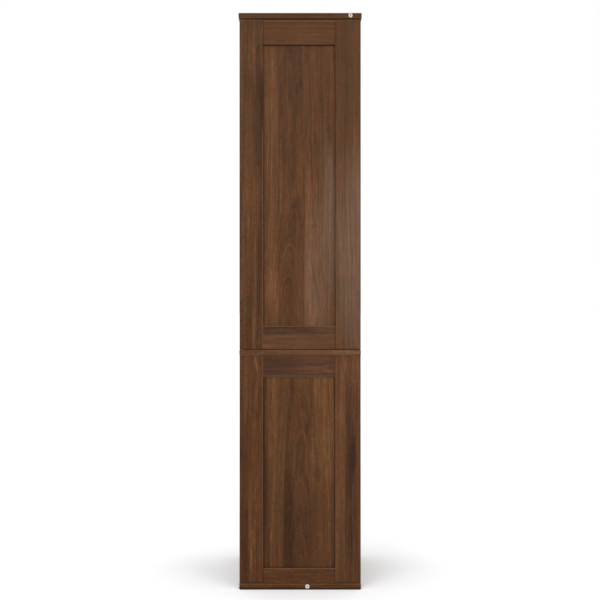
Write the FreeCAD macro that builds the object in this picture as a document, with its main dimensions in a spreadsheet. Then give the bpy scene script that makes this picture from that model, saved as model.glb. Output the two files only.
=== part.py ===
import FreeCAD, Part
import os
import Sketcher

"""A tall storage cabinet with two framed doors on pins, one above the other.

+Z is up, the front faces -Y and +X is right. The origin is at the middle of the base.
Lengths are in millimetres.
"""

SIZES = {
    # Whole cabinet
    "total_height": 1830,
    "body_width": 386,
    "side_depth": 370,
    "board": 16,
    "cap_board": 16,
    "back_board": 3,
    "cap_side_overhang": 2.5,
    "cap_projection": 10,
    "nose_projection": 7,
    "glide_height": 1,
    "middle_height": 744,
    "back_inset": 3,
    "back_gap": 1,
    "edge_round": 0.8,
    # Doors
    "door_thickness": 18,
    "door_standoff": 2,
    "upper_door_gap": 2,
    "lower_door_gap": 1.2,
    "hinge_stile": 75,
    "latch_stile": 81,
    "upper_top_rail": 79.5,
    "upper_bottom_rail": 74,
    "lower_top_rail": 66.5,
    "lower_bottom_rail": 46,
    "panel_recess": 8,
    "panel_board": 6,
    "groove_depth": 9,
    "groove_play": 0.1,
    "panel_play": 1,
    # Pivots
    "pivot_inset": 9,
    "pivot_edge_round": 6,
    "pin_radius": 3,
    "pin_in_door": 22,
    "pin_running_play": 0.08,
    "pin_end_play": 1,
    "bushing_radius": 6,
    "bushing_depth": 7,
    "bushing_flange_radius": 8,
    "bushing_wall_end": 0.8,
    "running_gap": 0.3,
    # Shelves
    "shelf_board": 16,
    "shelf_setback": 20,
    "shelf_rear_gap": 2,
    "shelf_side_gap": 1,
    "shelf_pin_radius": 2.5,
    "shelf_pin_depth": 8,
    "shelf_pitch": 32,
    "shelf_column_inset": 37,
    "shelf_plate_length": 9,
    "shelf_plate_width": 12,
    "shelf_plate_thickness": 1.5,
    # Rear rail
    "rail_height": 80,
    "wall_hole_radius": 3,
    "wall_hole_spacing": 200,
    # Carcass fittings
    "cam_radius": 7.5,
    "cam_height": 12.5,
    "cam_distance": 34,
    "cam_recess_width": 2,
    "cam_recess_length": 10,
    "cam_recess_depth": 3,
    "cam_bolt_radius": 3,
    "cam_bolt_depth": 10,
    "fitting_inset": 50,
    "dowel_radius": 4,
    "dowel_length": 30,
    "dowel_in_thin_board": 10,
    "dowel_offset": 32,
    "base_screw_radius": 2.5,
    "base_screw_head_radius": 4.5,
    "base_screw_head_height": 3,
    "base_screw_length": 50,
    "nail_radius": 0.8,
    "nail_head_radius": 1.8,
    "nail_head_height": 0.6,
    "nail_length": 15,
    # Glides
    "glide_let_in": 2,
    "glide_radius": 11,
    "glide_foot_radius": 9,
    "glide_stem_radius": 2,
    "glide_stem_length": 9,
    "glide_inset": 30,
    # Locks
    "lock_ring_radius": 6.6,
    "lock_ring_height": 1,
    "lock_barrel_radius": 5.2,
    "lock_plug_radius": 3.9,
    "lock_play": 0.1,
    "lock_face_recess": 0.4,
    "keyway_width": 2.4,
    "keyway_height": 4.8,
    "keyway_depth": 8,
    "upper_lock_inset": 33,
    "lower_lock_place": 23,
    "lock_cam_thickness": 2,
    "lock_cam_reach": 20,
    "lock_cam_width": 9,
    "lock_screw_radius": 1.5,
    "lock_screw_depth": 8,
    "lock_screw_head_radius": 3,
    "lock_screw_head_height": 1.8,
    "lock_pocket_depth": 8,
    "lock_pocket_margin": 1.5,
    # Push latches
    "latch_body_length": 44,
    "latch_body_width": 14,
    "latch_body_height": 12,
    "latch_setback": 3,
    "latch_flange_height": 9,
    "latch_flange_thickness": 2.5,
    "plunger_radius": 3.5,
    "plunger_length": 22,
    "plunger_play": 0.15,
    "plunger_travel": 2,
    "latch_below_door_top": 110,
    "strike_width": 20,
    "strike_height": 14,
    "strike_thickness": 1.2,
    "strike_peg_radius": 2.5,
    "strike_peg_length": 8,
    "latch_screw_radius": 1.5,
    "latch_screw_length": 12,
    "latch_screw_head_radius": 3,
    "latch_screw_head_height": 1.5,
    "latch_screw_inset": 12,
    # Bumpers
    "bumper_radius": 4,
    "bumper_height": 1.7,
    "bumper_inset": 25,
}

# Heights of the shelves, as shares of the clear height of their compartment.
UPPER_SHELF_SHARES = {"upper_shelf_high": 2 / 3, "upper_shelf_low": 1 / 3}
LOWER_SHELF_SHARE = 1 / 2
SHELF_HOLES = 5
# Places of the nails along the back boards, as shares of their height and width.
UPPER_NAIL_SHARES = (0.04, 0.19, 0.34, 0.49, 0.64, 0.79, 0.975)
LOWER_NAIL_SHARES = (0.04, 0.27, 0.5, 0.73, 0.96)
CROSS_NAIL_SHARES = (-0.38, 0, 0.38)

doc = FreeCAD.newDocument("TallCabinet")
sheet = doc.addObject("Spreadsheet::Sheet", "Sizes")


class Size:
    """A length: its formula in the sheet's words, and its present value."""

    def __init__(self, formula, value):
        self.formula = formula
        self.value = float(value)

    def __add__(self, other):
        other = as_size(other)
        return Size(f"({self.formula} + {other.formula})", self.value + other.value)

    def __sub__(self, other):
        other = as_size(other)
        return Size(f"({self.formula} - {other.formula})", self.value - other.value)

    def __mul__(self, share):
        return Size(f"({self.formula} * {share!r})", self.value * share)

    def __truediv__(self, share):
        return Size(f"({self.formula} / {share!r})", self.value / share)

    def __neg__(self):
        return Size(f"(0 - {self.formula})", -self.value)

    __radd__ = __add__
    __rmul__ = __mul__


def as_size(length):
    return length if isinstance(length, Size) else Size(repr(length), length)


class Words:
    """The driving sizes by name."""


s = Words()
for row, (word, number) in enumerate(SIZES.items(), start=1):
    sheet.set(f"A{row}", word)
    sheet.set(f"B{row}", str(number))
    sheet.setAlias(f"B{row}", word)
    setattr(s, word, Size(f"Sizes.{word}", number))
doc.recompute()

SUB_PARTS = []


def keep(thing, label):
    """Makes an object a sub-part of the cabinet."""
    thing.Label = label
    SUB_PARTS.append(thing)
    return thing


def bind(thing, path, length):
    """Ties one property of an object to the sheet."""
    thing.setExpression(path, as_size(length).formula)


TURNS = {
    "+x": FreeCAD.Rotation(FreeCAD.Vector(0, 1, 0), 90),
    "-x": FreeCAD.Rotation(FreeCAD.Vector(0, 1, 0), -90),
    "+y": FreeCAD.Rotation(FreeCAD.Vector(1, 0, 0), -90),
    "-y": FreeCAD.Rotation(FreeCAD.Vector(1, 0, 0), 90),
    "+z": FreeCAD.Rotation(),
    "-z": FreeCAD.Rotation(FreeCAD.Vector(1, 0, 0), 180),
}
STEPS = {
    "+x": (1, 0, 0),
    "-x": (-1, 0, 0),
    "+y": (0, 1, 0),
    "-y": (0, -1, 0),
    "+z": (0, 0, 1),
    "-z": (0, 0, -1),
}


def place(thing, at, along="+z"):
    """Puts an object at a bound point, with its own Z axis along a direction."""
    thing.Placement = FreeCAD.Placement(FreeCAD.Vector(0, 0, 0), TURNS[along])
    for letter, length in zip("xyz", at):
        bind(thing, f"Placement.Base.{letter}", length)
    return thing


def moved(at, along, distance):
    """A point that lies a distance from another along a direction."""
    return tuple(here + distance * step for here, step in zip(at, STEPS[along]))


def box(low, high):
    block = doc.addObject("Part::Box", "Block")
    for path, start, end in zip(("Length", "Width", "Height"), low, high):
        bind(block, path, end - start)
    return place(block, low)


def rod(radius, length, at, along):
    cylinder = doc.addObject("Part::Cylinder", "Rod")
    bind(cylinder, "Radius", radius)
    bind(cylinder, "Height", length)
    return place(cylinder, at, along)


def cone(radius, end_radius, length, at, along):
    taper = doc.addObject("Part::Cone", "Taper")
    bind(taper, "Radius1", radius)
    bind(taper, "Radius2", end_radius)
    bind(taper, "Height", length)
    return place(taper, at, along)


def fused(things):
    joined = doc.addObject("Part::MultiFuse", "Joined")
    joined.Shapes = things
    return joined


def group(things):
    """Several separate solids as one object."""
    gathered = doc.addObject("Part::Compound", "Gathered")
    gathered.Links = things
    return gathered


def cut(base, tools):
    """An object with one or more tools taken out of it."""
    shape = doc.addObject("Part::Cut", "Cut")
    shape.Base = base
    shape.Tool = tools[0] if len(tools) == 1 else fused(tools)
    return shape


def origin_plane(body, role):
    for feature in body.Origin.OriginFeatures:
        if feature.Role == role:
            return feature
    raise ValueError(role)


def new_sketch(body, role, offset=0):
    sketch = body.newObject("Sketcher::SketchObject", "Outline")
    sketch.AttachmentSupport = [(origin_plane(body, role), "")]
    sketch.MapMode = "FlatFace"
    bind(sketch, "AttachmentOffset.Base.z", offset)
    return sketch


def pin_point(sketch, edge, end, point):
    """Ties a point of a sketch to its two bound distances from the sketch's origin."""
    for kind, length in zip(("DistanceX", "DistanceY"), point):
        length = as_size(length)
        index = sketch.addConstraint(Sketcher.Constraint(kind, edge, end, length.value))
        bind(sketch, f"Constraints[{index}]", length)


def polygon(body, role, points, offset=0):
    """A closed outline of straight edges whose corners are bound to the sheet."""
    sketch = new_sketch(body, role, offset)
    corners = [FreeCAD.Vector(as_size(a).value, as_size(b).value, 0) for a, b in points]
    count = len(corners)
    for i in range(count):
        sketch.addGeometry(Part.LineSegment(corners[i], corners[(i + 1) % count]), False)
    for i in range(count):
        sketch.addConstraint(Sketcher.Constraint("Coincident", i, 2, (i + 1) % count, 1))
    for i, point in enumerate(points):
        pin_point(sketch, i, 1, point)
    return sketch


def circles(body, role, centres, radius, offset=0):
    sketch = new_sketch(body, role, offset)
    for centre in centres:
        middle = FreeCAD.Vector(as_size(centre[0]).value, as_size(centre[1]).value, 0)
        edge = sketch.addGeometry(Part.Circle(middle, FreeCAD.Vector(0, 0, 1), radius.value), False)
        pin_point(sketch, edge, 3, centre)
        index = sketch.addConstraint(Sketcher.Constraint("Radius", edge, radius.value))
        bind(sketch, f"Constraints[{index}]", radius)
    return sketch


def pad(body, sketch, length, reverse=False):
    feature = body.newObject("PartDesign::Pad", "Pad")
    feature.Profile = sketch
    feature.Reversed = reverse
    bind(feature, "Length", length)
    body.Tip = feature
    return feature


def pocket(body, sketch, length, reverse=False):
    feature = body.newObject("PartDesign::Pocket", "Pocket")
    feature.Profile = sketch
    feature.Reversed = reverse
    bind(feature, "Length", length)
    body.Tip = feature
    return feature


def rounded(body, radius, wanted):
    """Rounds the edges of a body that a test picks out."""
    doc.recompute()
    base = body.Tip
    edges = base.Shape.Edges
    names = [f"Edge{i}" for i, edge in enumerate(edges, start=1) if wanted(edge)]
    fillet = body.newObject("PartDesign::Fillet", "Rounding")
    fillet.Base = (base, names)
    bind(fillet, "Radius", radius)
    body.Tip = fillet
    return body


def runs_along(edge, letter):
    """Whether an edge is straight and lies along one axis."""
    if edge.Curve.TypeId != "Part::GeomLine":
        return False
    return abs(abs(getattr(edge.Curve.Direction, letter)) - 1) < 1e-6


def rectangle(width, height):
    return [(0, 0), (width, 0), (width, height), (0, height)]


def slab(name, role, outline, thickness, at):
    """A board cut to an outline, its low corner at a bound point."""
    body = doc.addObject("PartDesign::Body", name)
    pad(body, polygon(body, role, outline), thickness, reverse=(role == "XZ_Plane"))
    return place(body, at)


# Levels and faces that the pieces share
depth = (
    s.lock_ring_height + s.cap_projection + s.door_thickness
    + s.door_standoff + s.side_depth + s.back_board
)
ring_face = -(depth / 2)
cap_front = ring_face + s.lock_ring_height
door_front = cap_front + s.cap_projection
door_back = door_front + s.door_thickness
side_front = door_back + s.door_standoff
side_rear = side_front + s.side_depth
back_rear = side_rear + s.back_board
nose_front = door_front - s.nose_projection

left_outer = -(s.body_width / 2)
left_inner = left_outer + s.board
right_outer = s.body_width / 2
right_inner = right_outer - s.board
clear_width = right_inner - left_inner

base_low = s.glide_height
base_top = base_low + s.board
middle_low = s.middle_height
middle_top = middle_low + s.board
cap_low = s.total_height - s.cap_board
rail_low = cap_low - s.rail_height
rail_front = side_rear - s.board

pivot_x = left_outer + s.pivot_inset
pivot_y = door_back - s.pivot_inset

SIDES = {"left": -1, "right": 1}


def shelf_level(low, high, share):
    """Height of a shelf's underside, in a compartment between two levels."""
    return low + (high - low) * share


SHELF_LEVELS = {
    name: shelf_level(middle_top, cap_low, share) for name, share in UPPER_SHELF_SHARES.items()
}
SHELF_LEVELS["lower_shelf"] = shelf_level(base_top, middle_low, LOWER_SHELF_SHARE)
SHELF_COLUMNS = (side_front + s.shelf_column_inset, side_rear - s.shelf_column_inset)


# Fittings that join the boards
def cam_and_bolt(joint, inward, cam_face, cam_axis):
    """A cam in the end of one board, and the bolt that it draws in from the next.

    joint is the point where the bolt crosses the boards' meeting faces, inward points into
    the board that holds the cam, and cam_face is the point of the cam's open face.
    """
    bolt_start = moved(joint, inward, -s.cam_bolt_depth)
    bolt_length = s.cam_bolt_depth + s.cam_distance - s.cam_radius
    bolt = rod(s.cam_bolt_radius, bolt_length, bolt_start, inward)
    drum = rod(s.cam_radius, s.cam_height, cam_face, cam_axis)
    flats = {"x": s.cam_recess_width / 2, "y": s.cam_recess_width / 2, "z": s.cam_recess_width / 2}
    flats[inward[1]] = s.cam_recess_length / 2
    deep = moved(cam_face, cam_axis, s.cam_recess_depth)
    low = []
    high = []
    for letter, start, end, step in zip("xyz", cam_face, deep, STEPS[cam_axis]):
        near, far = (end, start) if step < 0 else (start, end)
        low.append(near if step else start - flats[letter])
        high.append(far if step else start + flats[letter])
    slot = box(tuple(low), tuple(high))
    return cut(drum, [slot]), bolt, drum


cams = []
cam_tools = []
cam_bolts = []
dowels = []
depth_rows = (side_front + s.fitting_inset, side_rear - s.fitting_inset)


def add_cam(joint, inward, cam_face, cam_axis):
    drum, bolt, tool = cam_and_bolt(joint, inward, cam_face, cam_axis)
    cams.append(drum)
    cam_tools.append(tool)
    cam_bolts.append(bolt)


for side, sign in SIDES.items():
    outward = "-x" if sign < 0 else "+x"
    inward = "+x" if sign < 0 else "-x"
    inner = left_inner if sign < 0 else right_inner
    middle_of_side = inner + s.board / 2 * sign
    for row in depth_rows:
        # Middle board, drawn against the side from its underside
        level = middle_low + s.board / 2
        cam_x = inner - s.cam_distance * sign
        add_cam((inner, row, level), inward, (cam_x, row, middle_low), "+z")
        # Cap, drawn down on the side from the side's inner face
        cam_z = cap_low - s.cam_distance
        add_cam((middle_of_side, row, cap_low), "-z", (inner, row, cam_z), outward)
    # Rear rail, drawn against the side from the rail's rear face
    rail_level = cap_low - s.rail_height / 2
    cam_x = inner - s.cam_distance * sign
    rail_middle = side_rear - s.board / 2
    add_cam((inner, rail_middle, rail_level), inward, (cam_x, side_rear, rail_level), "-y")
    # Dowels beside the cams
    start = inner + s.dowel_in_thin_board * sign
    level = middle_low + s.board / 2
    front_place = (start, depth_rows[0] + s.dowel_offset, level)
    rear_place = (start, depth_rows[1] - s.dowel_offset, level)
    dowels.append(rod(s.dowel_radius, s.dowel_length, front_place, inward))
    dowels.append(rod(s.dowel_radius, s.dowel_length, rear_place, inward))
    top = cap_low + s.dowel_in_thin_board
    place_on_top = (middle_of_side, depth_rows[0] + s.dowel_offset, top)
    dowels.append(rod(s.dowel_radius, s.dowel_length, place_on_top, "-z"))
    bottom = base_top - s.dowel_in_thin_board
    for row, shift in zip(depth_rows, (s.dowel_offset, -s.dowel_offset)):
        dowels.append(rod(s.dowel_radius, s.dowel_length, (middle_of_side, row + shift, bottom), "+z"))

base_screws = []
for sign in SIDES.values():
    screw_x = (left_inner if sign < 0 else right_inner) + s.board / 2 * sign
    for row in depth_rows:
        at = (screw_x, row, base_low)
        head = cone(s.base_screw_head_radius, s.base_screw_radius, s.base_screw_head_height, at, "+z")
        shank = rod(s.base_screw_radius, s.base_screw_length, at, "+z")
        base_screws.append(fused([head, shank]))

nails = []


def add_nail(x, z):
    at = (x, back_rear, z)
    head = rod(s.nail_head_radius, s.nail_head_height, at, "-y")
    shank = rod(s.nail_radius, s.nail_length, at, "-y")
    nails.append(fused([head, shank]))


for x in (left_outer + s.board / 2, right_outer - s.board / 2):
    for share in UPPER_NAIL_SHARES:
        add_nail(x, middle_top + (cap_low - middle_top) * share)
    for share in LOWER_NAIL_SHARES:
        add_nail(x, base_top + (middle_low - base_top) * share)
for share in CROSS_NAIL_SHARES:
    x = s.body_width * share
    add_nail(x, base_low + s.board / 2)
    add_nail(x, middle_low + s.board / 4)
    add_nail(x, middle_low + s.board * 0.75)
    add_nail(x, rail_low + s.rail_height / 4)

# Glides under the bottom board: a disc let into the board, and its stem
glides = []
glide_disc = s.glide_height + s.glide_let_in
glide_rows = (nose_front + s.glide_inset, side_rear - s.glide_inset)
for x in (left_outer + s.glide_inset, right_outer - s.glide_inset):
    for y in glide_rows:
        glide = doc.addObject("PartDesign::Body", "Glide")
        profile = [
            (0, 0),
            (s.glide_foot_radius, 0),
            (s.glide_radius, s.glide_height),
            (s.glide_radius, glide_disc),
            (s.glide_stem_radius, glide_disc),
            (s.glide_stem_radius, glide_disc + s.glide_stem_length),
            (0, glide_disc + s.glide_stem_length),
        ]
        sketch = polygon(glide, "XZ_Plane", profile)
        turned = glide.newObject("PartDesign::Revolution", "Turned")
        turned.Profile = sketch
        turned.ReferenceAxis = (sketch, ["V_Axis"])
        turned.Angle = 360
        glide.Tip = turned
        glides.append(place(glide, (x, y, 0)))


# Pivots: a flanged bushing in a board, and a pin in the door's edge that turns in it
def bushing(level, along, door_gap):
    """A flanged bushing let into a board's face at a level, its bore open towards the door."""
    flange = door_gap - s.running_gap
    bore = s.pin_radius + s.pin_running_play
    body = doc.addObject("PartDesign::Body", "Bushing")
    profile = [
        (bore, -flange),
        (s.bushing_flange_radius, -flange),
        (s.bushing_flange_radius, 0),
        (s.bushing_radius, 0),
        (s.bushing_radius, s.bushing_depth),
        (0, s.bushing_depth),
        (0, s.bushing_depth - s.bushing_wall_end),
        (bore, s.bushing_depth - s.bushing_wall_end),
    ]
    sketch = polygon(body, "XZ_Plane", profile)
    turned = body.newObject("PartDesign::Revolution", "Turned")
    turned.Profile = sketch
    turned.ReferenceAxis = (sketch, ["V_Axis"])
    turned.Angle = 360
    body.Tip = turned
    return place(body, (pivot_x, pivot_y, level), along)


def bushing_bore(level, along):
    return rod(s.bushing_radius, s.bushing_depth, (pivot_x, pivot_y, level), along)


def pivot_pin(door_edge, along, door_gap):
    """A pin that stands out of the door's edge, along the given direction, into its bushing."""
    reach = door_gap + s.bushing_depth - s.bushing_wall_end - s.pin_end_play
    start = moved((pivot_x, pivot_y, door_edge), along, -s.pin_in_door)
    return rod(s.pin_radius, s.pin_in_door + reach, start, along)


DOORS = {
    "upper": {
        "low": middle_top + s.upper_door_gap,
        "high": cap_low - s.upper_door_gap,
        "gap": s.upper_door_gap,
        "top_rail": s.upper_top_rail,
        "bottom_rail": s.upper_bottom_rail,
        "board_below": middle_top,
        "board_above": cap_low,
    },
    "lower": {
        "low": base_top + s.lower_door_gap,
        "high": middle_low - s.lower_door_gap,
        "gap": s.lower_door_gap,
        "top_rail": s.lower_top_rail,
        "bottom_rail": s.lower_bottom_rail,
        "board_below": base_top,
        "board_above": middle_low,
    },
}

bushings = {}
bushing_bores = {}
for name, door in DOORS.items():
    bushings[name] = [
        bushing(door["board_above"], "+z", door["gap"]),
        bushing(door["board_below"], "-z", door["gap"]),
    ]
    bushing_bores[name] = [
        bushing_bore(door["board_above"], "+z"),
        bushing_bore(door["board_below"], "-z"),
    ]

# Locks: ring and barrel in a board's front edge, a plug that turns, and the cam behind the door
LOCKS = {
    "upper": {
        "x": right_outer - s.upper_lock_inset,
        "z": cap_low + s.cap_board / 2,
        "face": cap_front,
        "open_low": cap_low,
        "swing": -1,
    },
    "lower": {
        "x": s.lower_lock_place,
        "z": base_low + s.board / 2,
        "face": nose_front,
        "open_low": base_top,
        "swing": 1,
    },
}
lock_tools = {}
lock_pieces = {}
for name, lock in LOCKS.items():
    x, z, face = lock["x"], lock["z"], lock["face"]
    barrel_length = side_front - face
    ring = rod(s.lock_ring_radius, s.lock_ring_height, (x, face - s.lock_ring_height, z), "+y")
    barrel = rod(s.lock_barrel_radius, barrel_length, (x, face, z), "+y")
    bore_radius = s.lock_plug_radius + s.lock_play
    bore_length = s.lock_ring_height + barrel_length
    bore = rod(bore_radius, bore_length, (x, face - s.lock_ring_height, z), "+y")
    housing = cut(fused([ring, barrel]), [bore])

    plug_start = face - s.lock_ring_height + s.lock_face_recess
    plug_end = side_front + s.running_gap
    plug_rod = rod(s.lock_plug_radius, plug_end - plug_start, (x, plug_start, z), "+y")
    half_key = s.keyway_width / 2
    keyway = box(
        (x - half_key, plug_start, z - s.keyway_height / 2),
        (x + half_key, plug_start + s.keyway_depth, z + s.keyway_height / 2),
    )
    thread_length = s.lock_screw_depth + s.lock_cam_thickness
    cam_end = plug_end + s.lock_cam_thickness
    thread = rod(s.lock_screw_radius, thread_length, (x, cam_end, z), "-y")
    screw_head = rod(s.lock_screw_head_radius, s.lock_screw_head_height, (x, cam_end, z), "+y")
    plug = cut(plug_rod, [keyway, thread])

    half_cam = s.lock_cam_width / 2
    hub = rod(half_cam, s.lock_cam_thickness, (x, plug_end, z), "+y")
    arm = box(
        (x - s.lock_cam_reach, plug_end, z - half_cam / 2),
        (x, cam_end, z + half_cam / 2),
    )
    lock_cam = cut(fused([hub, arm]), [thread])
    lock_pieces[name] = {
        "housing": housing,
        "plug": plug,
        "cam": lock_cam,
        "cam_screw": fused([thread, screw_head]),
    }
    roof = half_cam + s.lock_pocket_margin
    edge = z - roof * lock["swing"]
    pocket_z = (edge, lock["open_low"]) if lock["swing"] > 0 else (lock["open_low"], edge)
    room = box(
        (x - s.lock_cam_reach - s.lock_pocket_margin, side_front, pocket_z[0]),
        (x + roof, side_front + s.lock_pocket_depth, pocket_z[1]),
    )
    lock_tools[name] = [barrel, room]

# Push latches on the right side's inner face, and their strikes on the doors
latch_bodies = {}
latch_plungers = {}
strikes = {}
latch_screws = []
for name, door in DOORS.items():
    level = door["high"] - s.latch_below_door_top
    front = side_front + s.latch_setback
    middle_x = right_inner - s.latch_body_width / 2
    case = box(
        (right_inner - s.latch_body_width, front, level - s.latch_body_height / 2),
        (right_inner, front + s.latch_body_length, level + s.latch_body_height / 2),
    )
    flange_reach = s.latch_body_height / 2 + s.latch_flange_height
    flange = box(
        (right_inner - s.latch_flange_thickness, front + s.latch_screw_inset / 2, level - flange_reach),
        (right_inner, front + s.latch_screw_inset * 2, level + flange_reach),
    )
    tip = door_back + s.strike_thickness + s.running_gap
    plunger_end = tip + s.plunger_length
    shaft = rod(s.plunger_radius, s.plunger_length, (middle_x, tip, level), "+y")
    chamber_length = plunger_end + s.plunger_travel + s.running_gap - front
    chamber = rod(s.plunger_radius + s.plunger_play, chamber_length, (middle_x, front, level), "+y")
    screw_y = front + s.latch_screw_inset * 1.25
    screws = []
    for up in (-1, 1):
        screw_z = level + (s.latch_body_height / 2 + s.latch_flange_height / 2) * up
        seat = (right_inner - s.latch_flange_thickness, screw_y, screw_z)
        shank = rod(s.latch_screw_radius, s.latch_screw_length, seat, "+x")
        head = rod(s.latch_screw_head_radius, s.latch_screw_head_height, seat, "-x")
        screws.append(fused([shank, head]))
    latch_screws += screws
    latch_bodies[name] = cut(fused([case, flange]), [chamber] + screws)
    latch_plungers[name] = shaft
    plate = box(
        (middle_x - s.strike_width / 2, door_back, level - s.strike_height / 2),
        (middle_x + s.strike_width / 2, door_back + s.strike_thickness, level + s.strike_height / 2),
    )
    peg = rod(s.strike_peg_radius, s.strike_peg_length, (middle_x, door_back, level), "-y")
    strikes[name] = (fused([plate, peg]), peg)


# Shelf pins: a peg in the side and the plate that carries the shelf
shelf_pins = []
for level in SHELF_LEVELS.values():
    peg_level = level - s.shelf_pin_radius
    for sign in SIDES.values():
        inner = left_inner if sign < 0 else right_inner
        inward = "+x" if sign < 0 else "-x"
        for column in SHELF_COLUMNS:
            start = moved((inner, column, peg_level), inward, -s.shelf_pin_depth)
            peg = rod(s.shelf_pin_radius, s.shelf_pin_depth + s.shelf_plate_length, start, inward)
            edges = (inner, moved((inner, column, level), inward, s.shelf_plate_length)[0])
            low_x, high_x = edges if sign < 0 else edges[::-1]
            plate = box(
                (low_x, column - s.shelf_plate_width / 2, level - s.shelf_plate_thickness),
                (high_x, column + s.shelf_plate_width / 2, level),
            )
            shelf_pins.append(fused([peg, plate]))


# Boards of the carcass
def side_board(name, sign):
    """A side with its rows of shelf holes."""
    low_x = left_outer if sign < 0 else right_inner
    height = cap_low - base_top
    body = doc.addObject("PartDesign::Body", f"{name}_board")
    pad(body, polygon(body, "YZ_Plane", rectangle(s.side_depth, height)), s.board)
    rounded(body, s.edge_round, lambda edge: runs_along(edge, "z"))
    centres = []
    for level in SHELF_LEVELS.values():
        lowest = level - s.shelf_pin_radius - s.shelf_pitch * (SHELF_HOLES // 2) - base_top
        centres.append((s.shelf_column_inset, lowest))
        centres.append((s.side_depth - s.shelf_column_inset, lowest))
    face = s.board if sign < 0 else 0
    holes = circles(body, "YZ_Plane", centres, s.shelf_pin_radius, face)
    bores = pocket(body, holes, s.shelf_pin_depth, reverse=(sign > 0))
    doc.recompute()
    rows = body.newObject("PartDesign::LinearPattern", "Rows")
    rows.Originals = [bores]
    rows.Direction = (holes, ["V_Axis"])
    bind(rows, "Length", s.shelf_pitch * (SHELF_HOLES - 1))
    rows.Occurrences = SHELF_HOLES
    body.Tip = rows
    return place(body, (low_x, side_front, base_top))


side_tools = cam_tools + cam_bolts + dowels + base_screws + nails
for side, sign in SIDES.items():
    tools = list(side_tools)
    if side == "right":
        tools += latch_screws
    keep(cut(side_board(f"{side}_side", sign), [group(tools)]), f"{side}_side")

cap_width = s.body_width + s.cap_side_overhang * 2
cap_outline = rectangle(cap_width, back_rear - cap_front)
cap_at = (left_outer - s.cap_side_overhang, cap_front, cap_low)
cap_body = slab("cap_board_body", "XY_Plane", cap_outline, s.cap_board, cap_at)
rounded(cap_body, s.edge_round, lambda edge: True)
cap_tools = [bushing_bores["upper"][0]] + lock_tools["upper"] + [group(cam_bolts + dowels)]
keep(cut(cap_body, cap_tools), "cap")

base_outline = rectangle(s.body_width, side_rear - nose_front)
base_at = (left_outer, nose_front, base_low)
base_body = slab("bottom_board_body", "XY_Plane", base_outline, s.board, base_at)
rounded(base_body, s.edge_round, lambda edge: not runs_along(edge, "z"))
base_fittings = group(dowels + base_screws + nails + glides)
base_tools = [bushing_bores["lower"][1]] + lock_tools["lower"] + [base_fittings]
keep(cut(base_body, base_tools), "bottom_board")

nose_depth = side_front - nose_front
middle_depth = side_rear - nose_front
middle_outline = [
    (0, 0),
    (s.body_width, 0),
    (s.body_width, nose_depth),
    (s.body_width - s.board, nose_depth),
    (s.body_width - s.board, middle_depth),
    (s.board, middle_depth),
    (s.board, nose_depth),
    (0, nose_depth),
]
middle_at = (left_outer, nose_front, middle_low)
middle_body = slab("middle_board_body", "XY_Plane", middle_outline, s.board, middle_at)


def on_the_nose(edge):
    return runs_along(edge, "x") and edge.BoundBox.YMax < nose_depth.value / 2


rounded(middle_body, s.edge_round, on_the_nose)
middle_fittings = group(cam_tools + cam_bolts + dowels + nails)
middle_tools = [bushing_bores["upper"][1], bushing_bores["lower"][0], middle_fittings]
keep(cut(middle_body, middle_tools), "middle_board")

rail_outline = rectangle(clear_width, s.rail_height)
rail_body = slab("rear_rail_body", "XZ_Plane", rail_outline, s.board, (left_inner, rail_front, rail_low))
wall_holes = []
for sign in SIDES.values():
    at = (s.wall_hole_spacing / 2 * sign, rail_front, cap_low - s.rail_height / 2)
    wall_holes.append(rod(s.wall_hole_radius, s.board + s.back_board, at, "+y"))
keep(cut(rail_body, wall_holes + [group(cam_tools + cam_bolts + nails)]), "rear_rail")

back_width = s.body_width - s.back_inset * 2
back_x = left_outer + s.back_inset
seam = middle_low + s.board / 2
upper_back_low = seam + s.back_gap / 2
upper_back_outline = rectangle(back_width, cap_low - upper_back_low)
upper_back_at = (back_x, side_rear, upper_back_low)
upper_back = slab("upper_back_body", "XZ_Plane", upper_back_outline, s.back_board, upper_back_at)
keep(cut(upper_back, wall_holes + [group(nails)]), "upper_back")
lower_back_outline = rectangle(back_width, seam - s.back_gap / 2 - base_low)
lower_back_at = (back_x, side_rear, base_low)
lower_back = slab("lower_back_body", "XZ_Plane", lower_back_outline, s.back_board, lower_back_at)
keep(cut(lower_back, [group(nails)]), "lower_back")

shelf_width = clear_width - s.shelf_side_gap * 2
shelf_depth = s.side_depth - s.shelf_setback - s.shelf_rear_gap
for name, level in SHELF_LEVELS.items():
    shelf_at = (left_inner + s.shelf_side_gap, side_front + s.shelf_setback, level)
    shelf = slab(name, "XY_Plane", rectangle(shelf_width, shelf_depth), s.shelf_board, shelf_at)
    rounded(shelf, s.edge_round, lambda edge: runs_along(edge, "x"))
    keep(shelf, name)

keep(group(shelf_pins), "shelf_pins")
keep(group(cams), "cam_locks")
keep(group(cam_bolts), "cam_bolts")
keep(group(dowels), "dowels")
keep(group(base_screws), "base_screws")
keep(group(nails), "back_nails")
keep(group(glides), "glides")

# Doors
groove_start = s.panel_recess - s.groove_play / 2
groove_end = s.panel_recess + s.panel_board + s.groove_play / 2
tongue = s.groove_depth - s.panel_play
rail_span = s.body_width - s.hinge_stile - s.latch_stile


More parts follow.
